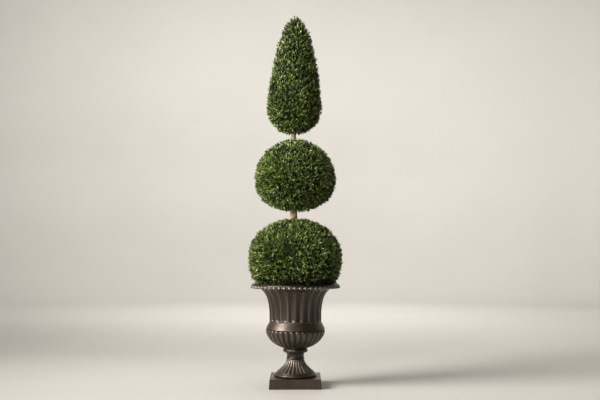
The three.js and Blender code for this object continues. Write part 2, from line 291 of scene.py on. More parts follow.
def bezier(a, b, c, d):
    """Points along a cubic curve, in radius and height."""
    t = np.linspace(0, 1, 25)[:, None]
    a, b, c, d = (np.array(point, float) for point in (a, b, c, d))
    return (1 - t) ** 3 * a + 3 * (1 - t) ** 2 * t * b + 3 * (1 - t) * t**2 * c + t**3 * d


def arc(centre, radius, start, end):
    """Points along an arc between two angles, in degrees from the outward direction."""
    angle = np.radians(np.linspace(start, end, 11))
    return np.array(centre) + radius * np.column_stack([np.cos(angle), np.sin(angle)])


def outline_of(*parts, step=1.6):
    """Joins points and curves to one outline with no step longer than the one given."""
    corners = np.vstack([np.atleast_2d(part) for part in parts]).astype(float)
    filled = [corners[:1]]
    for start, end in zip(corners, corners[1:]):
        pieces = math.ceil(np.linalg.norm(end - start) / step)
        shares = np.arange(1, pieces + 1)[:, None] / max(pieces, 1)
        filled.append(start + (end - start) * shares)
    return np.vstack(filled)


def length_of(outline):
    return np.linalg.norm(np.diff(outline, axis=0), axis=1).sum()


# %% The lathe


def skin(lower, upper):
    """Quads between rows of corners and the rows above them, closed round the axis."""
    return np.stack([lower, np.roll(lower, -1, 1), np.roll(upper, -1, 1), upper], axis=-1).reshape(-1, 4)


def turned(name, outline, base, sides, relief):
    """Spins an outline into a closed mesh at a height, and carves a relief into it."""
    ring = np.allclose(outline[0], outline[-1])
    rows = outline[:-1] if ring else outline
    ahead = np.roll(rows, -1, axis=0) - np.roll(rows, 1, axis=0) if ring else np.gradient(rows, axis=0)
    normal = unit(np.column_stack([ahead[:, 1], -ahead[:, 0]]))
    steps = np.linalg.norm(np.diff(rows, axis=0), axis=1)
    along = np.concatenate([[0], np.cumsum(steps)])[:, None]
    turn = np.arange(sides)[None, :] / sides
    fields = relief(along, rows[:, :1], turn)
    height, crest_and_shade = (np.broadcast_to(field, (len(rows), sides)) for field in fields)
    radius = rows[:, :1] + normal[:, :1] * height
    level = rows[:, 1:] + normal[:, 1:] * height + base
    angle = 2 * np.pi * turn
    grid = np.stack([radius * np.sin(angle), -radius * np.cos(angle), level + 0 * angle], axis=-1)
    index = np.arange(len(rows) * sides).reshape(len(rows), sides)
    if not ring:
        index[0], index[-1] = index[0, 0], index[-1, 0]
    used, index = np.unique(index, return_inverse=True)
    index = index.reshape(grid.shape[:2])
    quads = skin(index, np.roll(index, -1, axis=0)) if ring else skin(index[:-1], index[1:])
    faces = [tuple(dict.fromkeys(quad)) for quad in quads.tolist()]
    mesh = mesh_of(name, grid.reshape(-1, 3)[used], faces)
    give(mesh, "crest_and_shade", crest_and_shade.reshape(-1)[used])
    mesh.set_sharp_from_angle(angle=math.radians(50))
    mesh.materials.append(METAL)
    return shown(name, mesh)


# %% What reliefs are made of


def lobe(along, radius, turn, count, share, low, high):
    """A round back across each rib, 0 to 1, with round ends at low and high on the outline."""
    half = share * np.pi * radius / count
    across = (turn * count % 1 - 0.5) * 2 * np.pi * radius / count
    beyond = np.maximum(np.maximum(low + half - along, along - high + half), 0)
    return np.sqrt(np.clip(1 - (across**2 + beyond**2) / half**2, 0, 1))


def fade(value, low, high):
    """A soft step from 0 at low to 1 at high."""
    share = np.clip((value - low) / (high - low), 0, 1)
    return share * share * (3 - 2 * share)


# %% [markdown]
# ## The bowl: belly and wall
#
# The wall is a bell with hollow flutes that end in round scoops. The belly under it is wrapped in
# gadroons, which are the opposite: plump ribs with round heads under a plain shoulder. Both reliefs come
# from the same round-backed rib, pressed in or pushed out, and both meshes are shells round one hollow.

# %% Sizes of the bowl, from the frame


def low_and_height(node):
    """The lowest level of a solid and its height, in millimetres."""
    low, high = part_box(node)
    return low.z / MM, (high.z - low.z) / MM


BELLY_Z, BELLY_H = low_and_height("urn_belly")
WALL_Z, WALL_H = low_and_height("urn_wall")
RIM_Z, RIM_H = low_and_height("urn_rim")
BELLY_R, WAIST_R, MOUTH_R = 121.0, 107.0, 150.0
SHELL = 9.0  # thickness of the casting
INNER_R = MOUTH_R - 16.0
LIP_Z = 76.0  # where the gadroons' heads end, above the belly's foot
print(f"belly from {BELLY_Z:.1f}, wall from {WALL_Z:.1f}, rim from {RIM_Z:.1f} mm")

# %% The belly


def belly():
    gadroons, depth, joint = 30, 5.0, 0.7
    bulge = bezier((49, 0), (99, 20), (BELLY_R - 2, 45), (BELLY_R, LIP_Z))
    shoulder = bezier(
        (BELLY_R + 0.5, LIP_Z + 2), (BELLY_R - 1, LIP_Z + 8), (WAIST_R + 6, BELLY_H - 11), (WAIST_R, BELLY_H)
    )
    outside = outline_of((0, 0), bulge, shoulder)
    hollow = outline_of(
        (WAIST_R, BELLY_H),
        (WAIST_R - SHELL, BELLY_H),
        bezier((105, 80), (112, 48), (70, 15), (0, 13)),
        step=8,
    )
    foot = 49.0
    head = foot + length_of(bulge)

    def carve(along, radius, turn):
        rib = lobe(along, np.maximum(radius, 1), turn, gadroons, 0.97, foot - 14, head)
        reach = fade(along, foot, foot + 30) * (1 - fade(along, head, head + 2.5))
        return depth * (rib - joint) * reach, np.where(along > head + 2, CLEAN, 0.8 * rib)

    return turned("gadrooned_belly", np.vstack([outside, hollow[1:]]), BELLY_Z, gadroons * 14, carve)


settle(belly(), "urn_metal", "urn_belly")

# %% The fluted wall


def wall():
    flutes, depth = 22, 4.6
    outside = outline_of(
        (WAIST_R, 0),
        bezier(
            (WAIST_R, 18), (WAIST_R, WALL_H * 0.55), (WAIST_R + 9, WALL_H * 0.88), (MOUTH_R, WALL_H)
        ),
    )
    inside = outline_of(
        (MOUTH_R, WALL_H),
        (INNER_R, WALL_H),
        bezier((INNER_R, WALL_H - 6), (INNER_R - 24, WALL_H * 0.8), (98, WALL_H * 0.5), (98, 6)),
        (98, 0),
        (WAIST_R, 0),
        step=8,
    )
    top = length_of(outside)

    def carve(along, radius, turn):
        scoop = lobe(along, radius, turn, flutes, 0.76, 3, top - 7) * (along < top)
        return -depth * scoop, np.where(along < top, 0.75 - 0.6 * scoop, DULL_OR_SHADED)

    return turned("fluted_wall", np.vstack([outside, inside[1:]]), WALL_Z, flutes * 18, carve)


settle(wall(), "urn_metal", "urn_wall")

# %% [markdown]
# ## The rim
#
# The lip rolls out over the wall and down to a thin edge with a row of eggs and darts. Such a row is the
# usual case for Geometry Nodes: one egg and one dart are modelled at the front, and a tree repeats them
# round the axis. Its count is a named input, so the row can be re-spaced at once. The edge and the top
# are darkened as painted shadow of the foliage, and the eggs are rubbed, which makes them stand out.

# %% The rolled lip


def rim():
    underside = outline_of(
        (INNER_R, 0), (MOUTH_R, 0), bezier((MOUTH_R + 2, 0), (MOUTH_R + 12, 0.5), (170, 2), (172, 3))
    )
    outline = outline_of(
        underside,
        bezier((173, 2.5), (178, 3), (181.5, 7), (180.5, 12)),
        bezier((180.5, 12), (181, 16), (178, 17.5), (175, 17.5)),
        bezier((174, 18), (172, 21.5), (166, 21), (160, 19.5)),
        bezier((160, 19.5), (148, 17), (140, 12), (INNER_R, 0)),
    )
    band = length_of(underside) + 2

    # painted shadow of the foliage: past the underside, the rim's edge and top take a low value and turn
    # darker
    def painted_rim_shadow(along, radius, turn):
        return 0.0, PLAIN - 0.4 * fade(along, band, band + 4)

    return turned("rolled_rim", outline, RIM_Z, 300, painted_rim_shadow)


settle(rim(), "urn_metal", "urn_rim")

# %% One egg and one dart, at the front of the rim

EGGS = 52


def add_knob(solid, size, seat=(0, 0, 0), lean=0, turn=0, detail=1):
    """Adds a round knob: sized, leant outwards, seated and then turned round the axis."""
    place = (
        Matrix.Rotation(turn, 4, "Z")
        @ Matrix.Translation(Vector(seat) * MM)
        @ Matrix.Rotation(lean, 4, "X")
        @ Matrix.Diagonal((*size, 1))
    )
    bmesh.ops.create_icosphere(solid, subdivisions=detail, radius=MM, matrix=place)


def made_of(name, solid):
    """The smooth mesh of a solid that is finished."""
    mesh = bpy.data.meshes.new(name)
    for face in solid.faces:
        face.smooth = True
    solid.to_mesh(mesh)
    solid.free()
    return mesh


edge = (0, -178.8, 7.0)  # the middle of the rim's edge band, at the front
lean = math.radians(-30)
pair = bmesh.new()
add_knob(pair, (7.8, 5.0, 7.4), edge, lean, detail=2)
add_knob(pair, (1.6, 3.6, 7.4), edge, lean, turn=math.pi / EGGS)
ornament = made_of("egg_and_dart", pair)
give(ornament, "crest_and_shade", np.ones(len(ornament.vertices)))

# %% The tree that repeats it round the axis


def ring_tree():
    inputs = {"Ornament": "Geometry", "Count": "Int", "Level": "Float", "Material": "Material"}
    tree, enter, leave = new_tree("ring_of_ornaments", "Geometry", inputs, {"Ring": "Geometry"})
    level = put(tree, "ShaderNodeCombineXYZ", {"Z": enter["Level"]})
    spots = put(tree, "GeometryNodePoints", {"Count": enter["Count"], "Position": level.outputs[0]})
    step = put(tree, "ShaderNodeMath", {0: math.tau, 1: enter["Count"]}, operation="DIVIDE")
    number = put(tree, "GeometryNodeInputIndex").outputs[0]
    angle = put(tree, "ShaderNodeMath", {0: number, 1: step.outputs[0]}, operation="MULTIPLY")
    turn = about_z(tree, angle.outputs[0])
    copies = {"Points": spots.outputs[0], "Instance": enter["Ornament"], "Rotation": turn}
    return hand_out(tree, put(tree, "GeometryNodeInstanceOnPoints", copies), enter, leave)


egg_row = grown("rim_egg_row", ornament, ring_tree(), Count=EGGS, Level=RIM_Z * MM, Material=METAL)
settle(egg_row, "urn_metal", "urn_rim")

# %% [markdown]
# ## The foot, the collar and the plinth
#
# Under the bowl sit a round collar, a slim neck with a bead, and reeds that sweep out to a rounded base.
# They are turned like the bowl, being the same kind of shape. The plinth is square, so it starts as a
# block with a little draft, and a Bevel modifier rounds its edges as a mould would.

# %% The collar and the reeded foot

COLLAR_Z, COLLAR_H = low_and_height("urn_collar")
FOOT_Z, FOOT_H = low_and_height("urn_foot")


def shaded_under_belly(along, radius, turn):
    """A skin with no relief, darkened between dirty and plain as painted shade under the belly."""
    return 0.0, DULL_OR_SHADED


def collar():
    outline = outline_of(
        (0, 0),
        (38, 0),
        bezier((38, 0), (46, 0), (51, 2), (51, 8)),
        bezier((51, 8), (51, 13), (48.5, 14), (47.5, COLLAR_H)),
        (0, COLLAR_H),
    )
    # painted shade: the collar under the belly is darkened
    return turned("round_collar", outline, COLLAR_Z, 160, shaded_under_belly)


def foot():
    reeds, depth, joint = 24, 4.0, 0.6
    # the neck gets a low value as painted shade under the belly
    neck_shade, base_crest = 0.15, 0.55
    bead_z = FOOT_H - 23
    sweep = bezier((80, 15), (58, 32), (38, 48), (35, bead_z - 4))
    base = outline_of(
        (0, 0), (82, 0), arc((82, 6), 6, -90, 80), bezier((83, 12), (81, 12.5), (80, 13), (80, 15))
    )
    above = outline_of(
        arc((34.6, bead_z), 3.2, -70, 75),
        bezier((35, bead_z + 4), (34.6, bead_z + 13), (35, FOOT_H - 6), (38.4, FOOT_H)),
        (0, FOOT_H),
    )
    start = length_of(base)
    end = start + length_of(sweep)

    def carve(along, radius, turn):
        rib = lobe(along, np.maximum(radius, 1), turn, reeds, 0.95, start - 6, end + 2)
        within = fade(along, start, start + 12) * (1 - fade(along, end - 4, end))
        swell = depth * (0.55 + 0.45 * fade(radius, 20, 60))
        crest_and_shade = np.where(along > end, neck_shade, base_crest + (rib - base_crest) * within)
        return swell * (rib - joint) * within, crest_and_shade

    outline = np.vstack([base, outline_of(base[-1], sweep)[1:], outline_of(sweep[-1], above)[1:]])
    return turned("reeded_foot", outline, FOOT_Z, reeds * 14, carve)


settle(collar(), "urn_metal", "urn_collar")
settle(foot(), "urn_metal", "urn_foot")

# %% The plinth


def plinth():
    low, high = (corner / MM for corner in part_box("urn_plinth"))
    draft, crest_and_shade = 2.5, 0.5
    corners = [(-1, -1), (1, -1), (1, 1), (-1, 1)]
    points = []
    for level, inset in ((low.z, 0), (high.z, draft)):
        points += [(x * (high.x - inset), y * (high.y - inset), level) for x, y in corners]
    sides = [(i, (i + 1) % 4, (i + 1) % 4 + 4, i + 4) for i in range(4)]
    mesh = mesh_of("square_plinth", points, [(3, 2, 1, 0), (4, 5, 6, 7), *sides])
    give(mesh, "crest_and_shade", np.full(len(points), crest_and_shade))
    mesh.materials.append(METAL)
    thing = shown("square_plinth", mesh)
    edge_round = thing.modifiers.new("cast edges", "BEVEL")
    edge_round.width = 2.6 * MM
    edge_round.segments = 4
    edge_round.harden_normals = True
    return thing


settle(plinth(), "urn_metal", "urn_plinth")

# %% [markdown]
# ## The soil
#
# Potting soil is a bed of dark crumbs. The bed is the frame's own solid, which only needs its finish. The
# crumbs are one small lump that Geometry Nodes scatters over a disc with a fixed seed, turned and sized
# at random, which is far quicker than placing each by hand.

# %% The bed and its finish

SOIL = finish(
    "potting_soil",
    tones=((0.030, 0.020, 0.013), (0.075, 0.052, 0.034)),
    patch=90.0,
    grain=700.0,
    swell=160.0,
    rough=(0.85, 0.98),
    bump=1.6,
)[0]
soil_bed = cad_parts["soil"]
soil_bed.data.materials.clear()
soil_bed.data.materials.append(SOIL)
SOIL_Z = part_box("soil")[1].z / MM
print(f"soil level at {SOIL_Z:.1f} mm")

# %% Crumbs over the bed


def scatter_tree():
    inputs = {"Bed": "Geometry", "Crumb": "Object", "Seed": "Int", "Material": "Material"}
    inputs |= dict.fromkeys(("Per Square Metre", "Smallest", "Largest"), "Float")
    tree, enter, leave = new_tree("scatter_crumbs", "Geometry", inputs, {"Crumbs": "Geometry"})
    field = {"Mesh": enter["Bed"], "Density": enter["Per Square Metre"], "Seed": enter["Seed"]}
    spots = put(tree, "GeometryNodeDistributePointsOnFaces", field)
    crumb = put(tree, "GeometryNodeObjectInfo", {"Object": enter["Crumb"]})
    full = {1: (math.tau, math.tau, math.tau), "Seed": enter["Seed"]}
    turn = put(tree, "FunctionNodeRandomValue", full, data_type="FLOAT_VECTOR")
    rotation = put(tree, "FunctionNodeEulerToRotation", {0: live(turn.outputs)})
    sizes = {2: enter["Smallest"], 3: enter["Largest"], "Seed": enter["Seed"]}
    size = put(tree, "FunctionNodeRandomValue", sizes, data_type="FLOAT")
    copies = {
        "Points": spots.outputs["Points"],
        "Instance": crumb.outputs["Geometry"],
        "Rotation": rotation.outputs[0],
        "Scale": live(size.outputs),
    }
    return hand_out(tree, put(tree, "GeometryNodeInstanceOnPoints", copies), enter, leave)


def crumbs():
    lump = bmesh.new()
    add_knob(lump, (2.6, 2.0, 1.5))
    for vert in lump.verts:
        vert.co *= 1 + 0.35 * noise.noise(vert.co * 900)
    crumb = bpy.data.objects.new("crumb", made_of("crumb", lump))
    radius, sides = INNER_R - 3, 48
    turns = np.linspace(0, 2 * np.pi, sides, endpoint=False)
    disc = [(math.cos(t) * radius, math.sin(t) * radius, SOIL_Z + 0.6) for t in turns]
    bed = mesh_of("bed", disc, [tuple(range(sides))])
    values = {"Per Square Metre": 42000.0, "Smallest": 0.5, "Largest": 1.5, "Seed": 5}
    made = grown("soil_crumbs", bed, scatter_tree(), Crumb=crumb, Material=SOIL, **values)
    bpy.data.objects.remove(crumb)
    return made


soil_crumbs = crumbs()
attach(soil_crumbs, "root")
print("crumbs:", len(soil_crumbs.data.polygons) // 80)

# %% [markdown]
# ## The stem
#
# The stem is one pale, slim trunk with a lobed foot, a slight bow and a long taper, made as a stack of
# rings along a bowed line. Old boxwood bark splits lengthwise, and pruned side shoots leave knots, so
# noise that is stretched along the stem cuts the splits, and a few round swellings stand for the knots.
# Real relief shows in the outline, which a bump map alone would not.

# %% The stem's rule, as in the model

TRUNK_Z, TRUNK_H = low_and_height("trunk")
BASE_R, TIP_R, BOW = 16.5, 4.0, 9.0
FLARE, FLARE_H, LOBES = 0.75, 22.0, 5


def trunk_x(share):
    return -BOW * np.sin(np.pi * np.clip(share, 0, 1))


def trunk_radius(share):
    return BASE_R + (TIP_R - BASE_R) * np.clip(share, 0, 1) ** 1.6


# %% The stem's mesh


def trunk():
    rings, sides, knots = 420, 44, 26
    rng = np.random.default_rng(3)
    rise = np.linspace(0, 1, rings)[:, None] * TRUNK_H
    angle = np.linspace(0, 2 * np.pi, sides, endpoint=False)[None, :]
    share = rise / TRUNK_H
    spread = 1 + FLARE * (1 + 0.3 * np.cos(LOBES * angle)) * np.exp(-rise / FLARE_H)
    radius = trunk_radius(share) * spread

    def noise_over(girth, stretch, shift):
        """Noise that closes round the stem without a seam and is drawn out along it."""
        ring = [(math.cos(a) * girth, math.sin(a) * girth) for a in angle[0]]
        levels = rise[:, 0] / stretch + shift
        return np.array([[noise.noise(Vector((*spot, z))) for spot in ring] for z in levels])

    splits = noise_over(3.2, 34, 0)
    lumps = noise_over(1.0, 45, 50)
    crevice = np.clip(1 - np.abs(splits) * 7, 0, 1)
    relief = 0.9 * lumps - 0.8 * crevice + 0.25 * splits
    for z, a in zip(rng.uniform(20, TRUNK_H - 60, knots), rng.uniform(0, 2 * np.pi, knots)):
        across = np.angle(np.exp(1j * (angle - a))) * radius
        distance = np.hypot(across, (rise - z) * 0.8)
        relief = relief + 2.2 * np.exp(-((distance / 4.5) ** 2)) - 0.8 * np.exp(-((distance / 1.6) ** 2))
    radius = radius + relief * np.clip(radius / 14, 0.25, 1)
    x, y = trunk_x(share) + radius * np.cos(angle), radius * np.sin(angle)
    grid = np.stack([x, y, TRUNK_Z + rise + 0 * x], axis=-1).reshape(-1, 3)
    index = np.arange(rings * sides).reshape(rings, sides)
    faces = skin(index[:-1], index[1:]).tolist() + [index[0, ::-1].tolist(), index[-1].tolist()]
    mesh = mesh_of("boxwood_stem", grid, faces)
    give(mesh, "crevice", crevice)
    return shown("boxwood_stem", mesh)


BARK, tree, shader, colour = finish(
    "pale_bark",
    tones=((0.41, 0.30, 0.155), (0.29, 0.205, 0.095)),
    patch=120.0,
    grain=1400.0,
    swell=320.0,
    rough=(0.75, 0.92),
    bump=0.5,
    stretch=(1.0, 1.0, 0.22),
)
tinted_by(tree, shader, colour, "crevice", (1.0, 0.25), (0.15, 0.095, 0.05))
stem = trunk()
stem.data.materials.append(BARK)
settle(stem, "bark", "trunk")

# %% [markdown]
# ## The foliage
#
# A clipped boxwood is a thin shell of leafy shoots over a nearly bare inside. Each mass carries the rule
# of its solid further: boughs leave the stem and split into twigs, and every twig feeds a few sprigs
# whose tips end on the clipped outline, a formula of height. A golden-angle spiral spreads them with no
# seams, and seeded noise breaks the pattern. A particle system could scatter leaves too, but it would
# not know where the wood is.

# %% The three clipped outlines, as in the model

ROUND, POINTED, FULL = 2.0, 1.32, 2.25  # how half an outline bends: 2 is an ellipse
BALL = dict(top=ROUND, lean=(-1, -1), upsweep=0.25)
CONE = dict(top=POINTED, lean=(-7, 1), upsweep=0.9)
LID = RIM_Z + RIM_H + 1  # the level at which the lowest ball ends, over the rim
MASSES = {
    "bottom_ball": dict(z=533, radius=189, up=152, down=218, floor=LID, boughs=26, seed=11, **BALL),
    "middle_ball": dict(z=847, radius=164, up=166, down=130, floor=0, boughs=22, seed=23, **BALL),
    "cone": dict(z=1150, radius=109, up=377, down=113, floor=0, boughs=26, seed=37, **CONE),
}
GOLDEN_ANGLE = math.pi * (3 - math.sqrt(5))


def ends_of(mass):
    return max(mass["floor"], mass["z"] - mass["down"]), mass["z"] + mass["up"]


def reach_at(mass, z):
    """How far the leaves reach from the mass's own axis, at a height."""
    above = z >= mass["z"]
    share = np.clip(np.abs(z - mass["z"]) / np.where(above, mass["up"], mass["down"]), 0, 1)
    bend = np.where(above, mass["top"], FULL)
    return mass["radius"] * np.power(1 - share**bend, 0.5)


def axis_x(mass, z):
    low, high = ends_of(mass)
    start, end = mass["lean"]
    return start + (end - start) * (z - low) / (high - low)


def sites_on(mass, per_square_metre):
    """Even sites over a clipped outline, and the outward direction at each."""
    low, high = ends_of(mass)
    z = np.linspace(low, high, 4001)
    middle, step = (z[1:] + z[:-1]) / 2, z[1] - z[0]
    slope = np.diff(reach_at(mass, z)) / step
    area = np.cumsum(2 * np.pi * reach_at(mass, middle) * np.hypot(1, slope) * step)
    count = round(area[-1] * MM**2 * per_square_metre)
    band = np.searchsorted(area, (np.arange(count) + 0.5) / count * area[-1])
    angle = np.arange(count) * GOLDEN_ANGLE
    level, reach = middle[band], reach_at(mass, middle[band])
    x = axis_x(mass, level) + reach * np.cos(angle)
    outward = unit(np.column_stack([np.cos(angle), np.sin(angle), -slope[band]]))
    return np.column_stack([x, reach * np.sin(angle), level]), outward


def off_the_stem(points, clear):
    """Which points keep clear of the stem."""
    share = (points[:, 2] - TRUNK_Z) / TRUNK_H
    beside = np.hypot(points[:, 0] - trunk_x(share), points[:, 1]) > trunk_radius(share) + clear
    return beside | (share > 1) | (share < 0)


# %% [markdown]
# ### One sprig
#
# A boxwood shoot carries its small oval leaves in pairs, each pair turned a quarter from the one below,
# and the pairs close up towards the tip, where the youngest and palest leaves are. A leaf is a thin
# closed lens, crowned above, flat below and drooping at the tip. It is repeated tens of thousands of
# times, so a young leaf has only twelve triangles, and an old one, half hidden behind it, has eight. Five
# sprigs are drawn by one rule with different random numbers, each in three parts with finishes of their
# own: young leaves, old leaves and stem.

# %% A leaf and a sprig

LEAF = dict(length=13.6, width=4.8, crown=0.06, droop=0.13, curl=0.12)
SPRIG = dict(stem=30.0, reach=41.5, pairs=4, young=2, bend=3.0, variants=5)
YOUNG_OUTLINE = [(0, 0), (0.42, 0.28), (0.46, 0.68), (0.15, 1), (-0.15, 1), (-0.46, 0.68), (-0.42, 0.28)]
YOUNG_UNDERSIDE = [(1, 0, 6), (2, 1, 6, 5), (3, 2, 5, 4)]
OLD_OUTLINE = [(0, 0), (0.5, 0.45), (0.22, 0.97), (-0.22, 0.97), (-0.5, 0.45)]
OLD_UNDERSIDE = [(1, 0, 4), (2, 1, 4, 3)]


def leaf(start, along, up, size, outline):
    """A leaf's corners: its outline from the stalk round the tip, then its crown."""
    side = np.cross(along, up)
    length, width = LEAF["length"] * size, LEAF["width"] * size
    corners = []
    for x, y in outline:
        rise = -LEAF["droop"] * y * y - LEAF["curl"] * x * x
        corners.append(start + side * x * width + along * y * length + up * rise * length)
    return [*corners, start + along * 0.5 * length + up * LEAF["crown"] * length]


def leaf_pairs(rng, pairs, outline, underside):
    """The leaves of some of the pairs on a shoot that grows up along Z from the origin."""
    points, faces = [], []
    crown = len(outline)
    blade = [(crown, i, (i + 1) % crown) for i in range(crown)] + underside
    for pair in pairs:
        share = 0.42 + 0.56 * pair / (SPRIG["pairs"] - 1)
        start = np.array([SPRIG["bend"] * share**2, 0, SPRIG["stem"] * share])
        quarter = pair * math.pi / 2 + rng.normal(0, 0.25)
        for turn in (quarter, quarter + math.pi):
            tilt = math.radians(72 - 54 * share + rng.normal(0, 9))
            outward = np.array([math.cos(turn), math.sin(turn), 0])
            along = outward * math.sin(tilt) + np.array([0, 0, math.cos(tilt)])
            up = np.array([0, 0, math.sin(tilt)]) - outward * math.cos(tilt)
            first = len(points)
            points += leaf(start, along, up, rng.uniform(0.85, 1.1) * (1.15 - 0.27 * share), outline)
            faces += [tuple(first + corner for corner in face) for face in blade]
    return points, faces


def shoot():
    """A three-sided stem that narrows to a point at the sprig's last pair."""
    turns = np.radians([0, 120, 240])
    rings = [(0, 0, 0.8), (SPRIG["bend"] * 0.3, SPRIG["stem"] * 0.55, 0.55)]
    points = [(x + r * math.cos(t), r * math.sin(t), z) for x, z, r in rings for t in turns]
    points.append((SPRIG["bend"], 0, SPRIG["stem"]))
    faces = [(2, 1, 0)]
    for a, b in ((0, 1), (1, 2), (2, 0)):
        faces += [(a, b, b + 3, a + 3), (a + 3, b + 3, 6)]
    return points, faces


def variants():
    """Hidden collections of young leaves, old leaves and stems, with a mesh for each sprig."""
    rng = np.random.default_rng(7)
    pairs = range(SPRIG["pairs"])
    kinds = {label: bpy.data.collections.new(label) for label in ("young", "old", "stems")}
    for number in range(SPRIG["variants"]):
        young = leaf_pairs(rng, pairs[-SPRIG["young"] :], YOUNG_OUTLINE, YOUNG_UNDERSIDE)
        old = leaf_pairs(rng, pairs[: -SPRIG["young"]], OLD_OUTLINE, OLD_UNDERSIDE)
        for (label, group), (points, faces) in zip(kinds.items(), (young, old, shoot())):
            mesh = mesh_of(f"{label}_{number}", points, faces)
            mesh.set_sharp_from_angle(angle=math.radians(60))
            group.objects.link(bpy.data.objects.new(f"{label}_{number}", mesh))
    return kinds


SPRIGS = variants()
print("sprigs to deal out:", SPRIG["variants"])

# %% [markdown]
# ### The trees that grow it
#
# One tree sets a sprig on each vertex of a cloud, which stores where it aims, how it rolls, how large it
# is and which of the five it is: numpy decides, and the tree builds. The other tree turns a skeleton of
# edges into tapering tubes.

# %% A sprig on each point


def named(tree, label, kind):
    """A value that each vertex of the tree's input stores."""
    return live(put(tree, "GeometryNodeInputNamedAttribute", {"Name": label}, data_type=kind).outputs)


def sprig_tree():
    inputs = {"Points": "Geometry", "Sprigs": "Collection", "Material": "Material"}
    tree, enter, leave = new_tree("sprigs_on_points", "Geometry", inputs, {"Foliage": "Geometry"})
    choice = {"Collection": enter["Sprigs"], "Separate Children": True, "Reset Children": True}
    drawn = put(tree, "GeometryNodeCollectionInfo", choice)
    aim = {"Vector": named(tree, "aim", "FLOAT_VECTOR")}
    aimed = put(tree, "FunctionNodeAlignRotationToVector", aim, axis="Z")
    turns = {0: aimed.outputs[0], 1: about_z(tree, named(tree, "roll", "FLOAT"))}
    rolled = put(tree, "FunctionNodeRotateRotation", turns, rotation_space="LOCAL")
    copies = {
        "Points": enter["Points"],
        "Instance": drawn.outputs[0],
        "Pick Instance": True,
        "Instance Index": named(tree, "kind", "INT"),
        "Rotation": rolled.outputs[0],
        "Scale": named(tree, "grown", "FLOAT"),
    }
    return hand_out(tree, put(tree, "GeometryNodeInstanceOnPoints", copies), enter, leave)


# %% A tube along each chain of edges


def tube_tree():
    inputs = {"Skeleton": "Geometry", "Sides": "Int", "Material": "Material"}
    tree, enter, leave = new_tree("tubes_on_edges", "Geometry", inputs, {"Wood": "Geometry"})
    chain = put(tree, "GeometryNodeMeshToCurve", {0: enter["Skeleton"]})
    section = put(tree, "GeometryNodeCurvePrimitiveCircle", {"Resolution": enter["Sides"], "Radius": 1.0})
    sweep = {
        "Curve": chain.outputs[0],
        "Profile Curve": section.outputs[0],
        "Scale": named(tree, "thickness", "FLOAT"),
        "Fill Caps": True,
    }
    return hand_out(tree, put(tree, "GeometryNodeCurveToMesh", sweep), enter, leave)


SPRIG_TREE = sprig_tree()
TUBE_TREE = tube_tree()

# %% [markdown]
# ### Leaf colours
#
# Boxwood is not one green. Old leaves are deep and dull, this year's are fresh and waxy, and a few shoots
# are nearly yellow. Each tone is a finish of its own, and whole sprigs are dealt one for their young
# leaves and a deeper one for their old leaves, in loose drifts, as light and age would. The lowest sprigs
# over the rim take darker tones, as painted shade.

# %% Finishes of the plant


def leaf_finish(label, tone, gloss):
    darker = tuple(0.75 * part for part in tone)
    rough = (0.64 - 0.34 * gloss, 0.78 - 0.34 * gloss)
    looks = dict(patch=70.0, grain=500.0, swell=60.0, bump=0.15)
    material, _, shader, _ = finish(f"leaf_{label}", (darker, tone), rough=rough, **looks)
    shader.inputs["Specular IOR Level"].default_value = 0.15 + 0.5 * gloss
    return material


# Each tone has a base colour, a gloss, and its shares of the young and of the old leaves.
TONES = {
    "deep": ((0.012, 0.014, 0.002), 0.15, 0.00, 0.84),
    "mid": ((0.022, 0.038, 0.004), 0.7, 0.32, 0.14),
    "fresh": ((0.086, 0.148, 0.010), 0.8, 0.32, 0.02),
    "olive": ((0.126, 0.162, 0.015), 0.8, 0.18, 0.00),
    "pale": ((0.270, 0.340, 0.085), 1.0, 0.18, 0.00),
}
LEAVES = {label: leaf_finish(label, tone, gloss) for label, (tone, gloss, _, _) in TONES.items()}
TWIG = finish(
    "brown_twig",
    tones=((0.060, 0.042, 0.022), (0.10, 0.075, 0.042)),
    patch=60.0,
    grain=900.0,
    swell=200.0,
    rough=(0.7, 0.9),
    bump=0.3,
    stretch=(1.0, 1.0, 0.4),
)[0]

# %% Where the sprigs stand

SPRIGS_PER_M2, TWIGS_PER_M2 = 9400, 520
INNER_PER_M2 = 2200  # shaded sprigs behind the outer ones
INNER_DEPTH = 34  # mm from the outline in to their tips
LINING_PER_M2 = 8000  # shaded sprigs over a flat underside
PUFF = (-1, 9)  # mm that the outer tips stand out of the outline
SKIRT, SKIRT_RISE = 12, (2, 9)  # mm over that underside: where the skirt ends, and where its tips go
SKIRT_TUCK = 0.965  # how the skirt draws in
SKIRT_SHADE = 22  # mm over that underside in which the leaves are darker


def sprig_cloud(mass, rng, per_square_metre, tips_out):
    """Roots, directions and sizes of sprigs whose tips end near the clipped outline."""
    tips, outward = sites_on(mass, per_square_metre)
    count = len(tips)
    spacing = 1 / math.sqrt(per_square_metre) / MM
    scatter, waver = 0.45, 0.24  # how far tips leave the spiral, in spacings, and how much aims vary
    sideways = rng.uniform(-scatter, scatter, (count, 3)) * spacing
    sideways -= outward * np.sum(sideways * outward, axis=1)[:, None]
    tips = tips + sideways + outward * rng.uniform(*tips_out, (count, 1))
    aim = outward + rng.normal(0, waver, (count, 3))
    aim[:, 2] += mass["upsweep"] * np.clip(1 + 1.3 * outward[:, 2], 0, 1)
    skirt = tips[:, 2] < mass["floor"] + SKIRT
    tips[skirt, 2] = mass["floor"] + rng.uniform(*SKIRT_RISE, skirt.sum())
    tips[skirt, :2] *= SKIRT_TUCK
    aim[skirt, 2] = rng.uniform(-0.05, 0.15, skirt.sum())
    aim = unit(aim)
    size = rng.uniform(0.85, 1.15, count)
    roots = tips - aim * SPRIG["reach"] * size[:, None]
    kept = off_the_stem(tips, 7) & off_the_stem(roots, 1) & (roots[:, 2] > mass["floor"])
    return roots[kept], aim[kept], size[kept]


